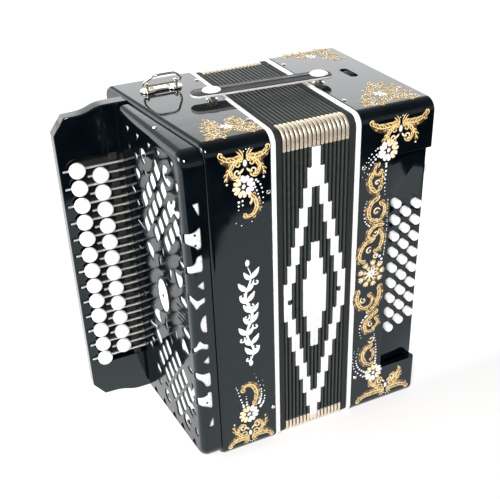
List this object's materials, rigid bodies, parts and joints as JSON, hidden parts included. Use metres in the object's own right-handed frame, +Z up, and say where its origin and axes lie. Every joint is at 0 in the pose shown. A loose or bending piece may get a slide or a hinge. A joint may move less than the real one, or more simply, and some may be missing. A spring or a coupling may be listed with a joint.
{
  "type": "button accordion",
  "caption": "Small folk button accordion with a side fingerboard of round keys, a pierced cover, folding bellows, a bass button panel and a hand strap.",
  "frame": {"origin": "middle of the bounding footprint, on the surface that the casings' long bottom faces stand on, bellows closed", "axes": "+X along the bellows from the treble side to the bass side, -Y the decorated front faces, +Z up along the button rows"},
  "size_m": [0.343, 0.1946, 0.3611],
  "materials": {
    "black_lacquer": "high-gloss black lacquer over wood",
    "pearl_keys": "polished pearl-white plastic, on steel levers",
    "bellows_cloth": "dark green-black bellows cloth over folded card, with metal corners",
    "white_trim": "white celluloid band with a dark end strip",
    "spruce": "bare spruce",
    "felt_comb": "felted wooden comb",
    "steel": "bright steel rod",
    "silver_cloth": "silvery speckled cloth",
    "nickel": "nickel plate",
    "leather": "black leather with a pale cut edge"
  },
  "bodies": {
    "treble": {"treble_casing": "black_lacquer", "treble_reed_block_outer": "spruce", "treble_reed_block_inner": "spruce", "fingerboard": "black_lacquer", "lever_comb": "felt_comb", "lever_axle": "steel", "grille_cover": "black_lacquer", "grille_backing": "silver_cloth", "treble_bellows_frame": "white_trim", "shoulder_bracket": "nickel"},
    "bass": {"bass_casing": "black_lacquer", "bass_end_cover": "black_lacquer", "bass_button_plate": "black_lacquer", "bass_reed_block": "spruce", "bass_bellows_frame": "white_trim", "hand_strap": "leather"},
    "outer_key_01": {"outer_key_01": "pearl_keys"},
    "outer_key_02": {"outer_key_02": "pearl_keys"},
    "outer_key_03": {"outer_key_03": "pearl_keys"},
    "outer_key_04": {"outer_key_04": "pearl_keys"},
    "outer_key_05": {"outer_key_05": "pearl_keys"},
    "outer_key_06": {"outer_key_06": "pearl_keys"},
    "outer_key_07": {"outer_key_07": "pearl_keys"},
    "outer_key_08": {"outer_key_08": "pearl_keys"},
    "outer_key_09": {"outer_key_09": "pearl_keys"},
    "outer_key_10": {"outer_key_10": "pearl_keys"},
    "outer_key_11": {"outer_key_11": "pearl_keys"},
    "outer_key_12": {"outer_key_12": "pearl_keys"},
    "outer_key_13": {"outer_key_13": "pearl_keys"},
    "inner_key_01": {"inner_key_01": "pearl_keys"},
    "inner_key_02": {"inner_key_02": "pearl_keys"},
    "inner_key_03": {"inner_key_03": "pearl_keys"},
    "inner_key_04": {"inner_key_04": "pearl_keys"},
    "inner_key_05": {"inner_key_05": "pearl_keys"},
    "inner_key_06": {"inner_key_06": "pearl_keys"},
    "inner_key_07": {"inner_key_07": "pearl_keys"},
    "inner_key_08": {"inner_key_08": "pearl_keys"},
    "inner_key_09": {"inner_key_09": "pearl_keys"},
    "inner_key_10": {"inner_key_10": "pearl_keys"},
    "inner_key_11": {"inner_key_11": "pearl_keys"},
    "inner_key_12": {"inner_key_12": "pearl_keys"},
    "bellows_folds_1": {"bellows_folds_1": "bellows_cloth"},
    "bellows_folds_2": {"bellows_folds_2": "bellows_cloth"},
    "bellows_folds_3": {"bellows_folds_3": "bellows_cloth"},
    "bellows_folds_4": {"bellows_folds_4": "bellows_cloth"},
    "bellows_folds_5": {"bellows_folds_5": "bellows_cloth"},
    "bass_button_row_1": {"bass_button_row_1": "pearl_keys"},
    "bass_button_row_2": {"bass_button_row_2": "pearl_keys"},
    "bass_button_row_3": {"bass_button_row_3": "pearl_keys"},
    "bass_button_row_4": {"bass_button_row_4": "pearl_keys"},
    "bass_button_row_5": {"bass_button_row_5": "pearl_keys"},
    "bass_button_row_6": {"bass_button_row_6": "pearl_keys"},
    "bass_button_row_7": {"bass_button_row_7": "pearl_keys"},
    "bass_button_row_8": {"bass_button_row_8": "pearl_keys"},
    "bass_button_row_9": {"bass_button_row_9": "pearl_keys"},
    "air_button": {"air_button": "pearl_keys"},
    "strap_adjuster": {"strap_adjuster": "nickel"},
    "bellows_strap": {"bellows_strap": "leather"},
    "shoulder_bail": {"shoulder_bail": "nickel"}
  },
  "joints": [
    {"name": "bellows_slide", "type": "slide", "parent": "treble", "child": "bass", "axis": [1, 0, 0], "range_m": [0, 0.32]},
    {"name": "bellows_folds_1_slide", "type": "slide", "parent": "treble", "child": "bellows_folds_1", "axis": [1, 0, 0], "range_m": [0, 0.0305]},
    {"name": "bellows_folds_2_slide", "type": "slide", "parent": "treble", "child": "bellows_folds_2", "axis": [1, 0, 0], "range_m": [0, 0.0905]},
    {"name": "bellows_folds_3_slide", "type": "slide", "parent": "treble", "child": "bellows_folds_3", "axis": [1, 0, 0], "range_m": [0, 0.1605]},
    {"name": "bellows_folds_4_slide", "type": "slide", "parent": "treble", "child": "bellows_folds_4", "axis": [1, 0, 0], "range_m": [0, 0.2305]},
    {"name": "bellows_folds_5_slide", "type": "slide", "parent": "treble", "child": "bellows_folds_5", "axis": [1, 0, 0], "range_m": [0, 0.2905]},
    {"name": "outer_key_01_press", "type": "hinge", "parent": "treble", "child": "outer_key_01", "pos_m": [-0.1055, 0.0473, 0.2801], "axis": [0, 0, -1], "range_deg": [0, 4.5], "stiffness_Nm_per_rad": 0.4, "springref_deg": -5.73},
    {"name": "outer_key_02_press", "type": "hinge", "parent": "treble", "child": "outer_key_02", "pos_m": [-0.1055, 0.0473, 0.26175], "axis": [0, 0, -1], "range_deg": [0, 4.5], "stiffness_Nm_per_rad": 0.4, "springref_deg": -5.73},
    {"name": "outer_key_03_press", "type": "hinge", "parent": "treble", "child": "outer_key_03", "pos_m": [-0.1055, 0.0473, 0.2434], "axis": [0, 0, -1], "range_deg": [0, 4.5], "stiffness_Nm_per_rad": 0.4, "springref_deg": -5.73},
    {"name": "outer_key_04_press", "type": "hinge", "parent": "treble", "child": "outer_key_04", "pos_m": [-0.1055, 0.0473, 0.22505], "axis": [0, 0, -1], "range_deg": [0, 4.5], "stiffness_Nm_per_rad": 0.4, "springref_deg": -5.73},
    {"name": "outer_key_05_press", "type": "hinge", "parent": "treble", "child": "outer_key_05", "pos_m": [-0.1055, 0.0473, 0.2067], "axis": [0, 0, -1], "range_deg": [0, 4.5], "stiffness_Nm_per_rad": 0.4, "springref_deg": -5.73},
    {"name": "outer_key_06_press", "type": "hinge", "parent": "treble", "child": "outer_key_06", "pos_m": [-0.1055, 0.0473, 0.18835], "axis": [0, 0, -1], "range_deg": [0, 4.5], "stiffness_Nm_per_rad": 0.4, "springref_deg": -5.73},
    {"name": "outer_key_07_press", "type": "hinge", "parent": "treble", "child": "outer_key_07", "pos_m": [-0.1055, 0.0473, 0.17], "axis": [0, 0, -1], "range_deg": [0, 4.5], "stiffness_Nm_per_rad": 0.4, "springref_deg": -5.73},
    {"name": "outer_key_08_press", "type": "hinge", "parent": "treble", "child": "outer_key_08", "pos_m": [-0.1055, 0.0473, 0.15165], "axis": [0, 0, -1], "range_deg": [0, 4.5], "stiffness_Nm_per_rad": 0.4, "springref_deg": -5.73},
    {"name": "outer_key_09_press", "type": "hinge", "parent": "treble", "child": "outer_key_09", "pos_m": [-0.1055, 0.0473, 0.1333], "axis": [0, 0, -1], "range_deg": [0, 4.5], "stiffness_Nm_per_rad": 0.4, "springref_deg": -5.73},
    {"name": "outer_key_10_press", "type": "hinge", "parent": "treble", "child": "outer_key_10", "pos_m": [-0.1055, 0.0473, 0.11495], "axis": [0, 0, -1], "range_deg": [0, 4.5], "stiffness_Nm_per_rad": 0.4, "springref_deg": -5.73},
    {"name": "outer_key_11_press", "type": "hinge", "parent": "treble", "child": "outer_key_11", "pos_m": [-0.1055, 0.0473, 0.0966], "axis": [0, 0, -1], "range_deg": [0, 4.5], "stiffness_Nm_per_rad": 0.4, "springref_deg": -5.73},
    {"name": "outer_key_12_press", "type": "hinge", "parent": "treble", "child": "outer_key_12", "pos_m": [-0.1055, 0.0473, 0.07825], "axis": [0, 0, -1], "range_deg": [0, 4.5], "stiffness_Nm_per_rad": 0.4, "springref_deg": -5.73},
    {"name": "outer_key_13_press", "type": "hinge", "parent": "treble", "child": "outer_key_13", "pos_m": [-0.1055, 0.0473, 0.0599], "axis": [0, 0, -1], "range_deg": [0, 4.5], "stiffness_Nm_per_rad": 0.4, "springref_deg": -5.73},
    {"name": "inner_key_01_press", "type": "hinge", "parent": "treble", "child": "inner_key_01", "pos_m": [-0.1055, 0.0473, 0.27093], "axis": [0, 0, -1], "range_deg": [0, 4.5], "stiffness_Nm_per_rad": 0.4, "springref_deg": -5.73},
    {"name": "inner_key_02_press", "type": "hinge", "parent": "treble", "child": "inner_key_02", "pos_m": [-0.1055, 0.0473, 0.25257], "axis": [0, 0, -1], "range_deg": [0, 4.5], "stiffness_Nm_per_rad": 0.4, "springref_deg": -5.73},
    {"name": "inner_key_03_press", "type": "hinge", "parent": "treble", "child": "inner_key_03", "pos_m": [-0.1055, 0.0473, 0.23422], "axis": [0, 0, -1], "range_deg": [0, 4.5], "stiffness_Nm_per_rad": 0.4, "springref_deg": -5.73},
    {"name": "inner_key_04_press", "type": "hinge", "parent": "treble", "child": "inner_key_04", "pos_m": [-0.1055, 0.0473, 0.21588], "axis": [0, 0, -1], "range_deg": [0, 4.5], "stiffness_Nm_per_rad": 0.4, "springref_deg": -5.73},
    {"name": "inner_key_05_press", "type": "hinge", "parent": "treble", "child": "inner_key_05", "pos_m": [-0.1055, 0.0473, 0.19753], "axis": [0, 0, -1], "range_deg": [0, 4.5], "stiffness_Nm_per_rad": 0.4, "springref_deg": -5.73},
    {"name": "inner_key_06_press", "type": "hinge", "parent": "treble", "child": "inner_key_06", "pos_m": [-0.1055, 0.0473, 0.17918], "axis": [0, 0, -1], "range_deg": [0, 4.5], "stiffness_Nm_per_rad": 0.4, "springref_deg": -5.73},
    {"name": "inner_key_07_press", "type": "hinge", "parent": "treble", "child": "inner_key_07", "pos_m": [-0.1055, 0.0473, 0.16082], "axis": [0, 0, -1], "range_deg": [0, 4.5], "stiffness_Nm_per_rad": 0.4, "springref_deg": -5.73},
    {"name": "inner_key_08_press", "type": "hinge", "parent": "treble", "child": "inner_key_08", "pos_m": [-0.1055, 0.0473, 0.14247], "axis": [0, 0, -1], "range_deg": [0, 4.5], "stiffness_Nm_per_rad": 0.4, "springref_deg": -5.73},
    {"name": "inner_key_09_press", "type": "hinge", "parent": "treble", "child": "inner_key_09", "pos_m": [-0.1055, 0.0473, 0.12412], "axis": [0, 0, -1], "range_deg": [0, 4.5], "stiffness_Nm_per_rad": 0.4, "springref_deg": -5.73},
    {"name": "inner_key_10_press", "type": "hinge", "parent": "treble", "child": "inner_key_10", "pos_m": [-0.1055, 0.0473, 0.10577], "axis": [0, 0, -1], "range_deg": [0, 4.5], "stiffness_Nm_per_rad": 0.4, "springref_deg": -5.73},
    {"name": "inner_key_11_press", "type": "hinge", "parent": "treble", "child": "inner_key_11", "pos_m": [-0.1055, 0.0473, 0.08743], "axis": [0, 0, -1], "range_deg": [0, 4.5], "stiffness_Nm_per_rad": 0.4, "springref_deg": -5.73},
    {"name": "inner_key_12_press", "type": "hinge", "parent": "treble", "child": "inner_key_12", "pos_m": [-0.1055, 0.0473, 0.06907], "axis": [0, 0, -1], "range_deg": [0, 4.5], "stiffness_Nm_per_rad": 0.4, "springref_deg": -5.73},
    {"name": "bass_button_row_1_press", "type": "slide", "parent": "bass", "child": "bass_button_row_1", "axis": [0, 1, 0], "range_m": [0, 0.0045], "stiffness_N_per_m": 150, "springref_m": -0.006},
    {"name": "bass_button_row_2_press", "type": "slide", "parent": "bass", "child": "bass_button_row_2", "axis": [0, 1, 0], "range_m": [0, 0.0045], "stiffness_N_per_m": 150, "springref_m": -0.006},
    {"name": "bass_button_row_3_press", "type": "slide", "parent": "bass", "child": "bass_button_row_3", "axis": [0, 1, 0], "range_m": [0, 0.0045], "stiffness_N_per_m": 150, "springref_m": -0.006},
    {"name": "bass_button_row_4_press", "type": "slide", "parent": "bass", "child": "bass_button_row_4", "axis": [0, 1, 0], "range_m": [0, 0.0045], "stiffness_N_per_m": 150, "springref_m": -0.006},
    {"name": "bass_button_row_5_press", "type": "slide", "parent": "bass", "child": "bass_button_row_5", "axis": [0, 1, 0], "range_m": [0, 0.0045], "stiffness_N_per_m": 150, "springref_m": -0.006},
    {"name": "bass_button_row_6_press", "type": "slide", "parent": "bass", "child": "bass_button_row_6", "axis": [0, 1, 0], "range_m": [0, 0.0045], "stiffness_N_per_m": 150, "springref_m": -0.006},
    {"name": "bass_button_row_7_press", "type": "slide", "parent": "bass", "child": "bass_button_row_7", "axis": [0, 1, 0], "range_m": [0, 0.0045], "stiffness_N_per_m": 150, "springref_m": -0.006},
    {"name": "bass_button_row_8_press", "type": "slide", "parent": "bass", "child": "bass_button_row_8", "axis": [0, 1, 0], "range_m": [0, 0.0045], "stiffness_N_per_m": 150, "springref_m": -0.006},
    {"name": "bass_button_row_9_press", "type": "slide", "parent": "bass", "child": "bass_button_row_9", "axis": [0, 1, 0], "range_m": [0, 0.0045], "stiffness_N_per_m": 150, "springref_m": -0.006},
    {"name": "air_button_press", "type": "slide", "parent": "bass", "child": "air_button", "axis": [-1, 0, 0], "range_m": [0, 0.0045], "stiffness_N_per_m": 200, "springref_m": -0.004},
    {"name": "strap_adjuster_spin", "type": "hinge", "parent": "bass", "child": "strap_adjuster", "pos_m": [0.117, 0.0055, 0.3275], "axis": [1, 0, 0], "continuous": true},
    {"name": "bellows_strap_swing", "type": "hinge", "parent": "treble", "child": "bellows_strap", "pos_m": [-0.0305, 0.0022, 0.346], "axis": [0, 0, 1], "range_deg": [-110, 0]},
    {"name": "shoulder_bail_swing", "type": "hinge", "parent": "treble", "child": "shoulder_bail", "pos_m": [-0.062, 0.052, 0.3455], "axis": [1, 0, 0], "range_deg": [-132, 35]}
  ],
  "couplings": [
    {"joint": "bellows_folds_1_slide", "follows": "bellows_slide", "ratio": 0.09375},
    {"joint": "bellows_folds_2_slide", "follows": "bellows_slide", "ratio": 0.28125},
    {"joint": "bellows_folds_3_slide", "follows": "bellows_slide", "ratio": 0.5},
    {"joint": "bellows_folds_4_slide", "follows": "bellows_slide", "ratio": 0.71875},
    {"joint": "bellows_folds_5_slide", "follows": "bellows_slide", "ratio": 0.90625}
  ]
}
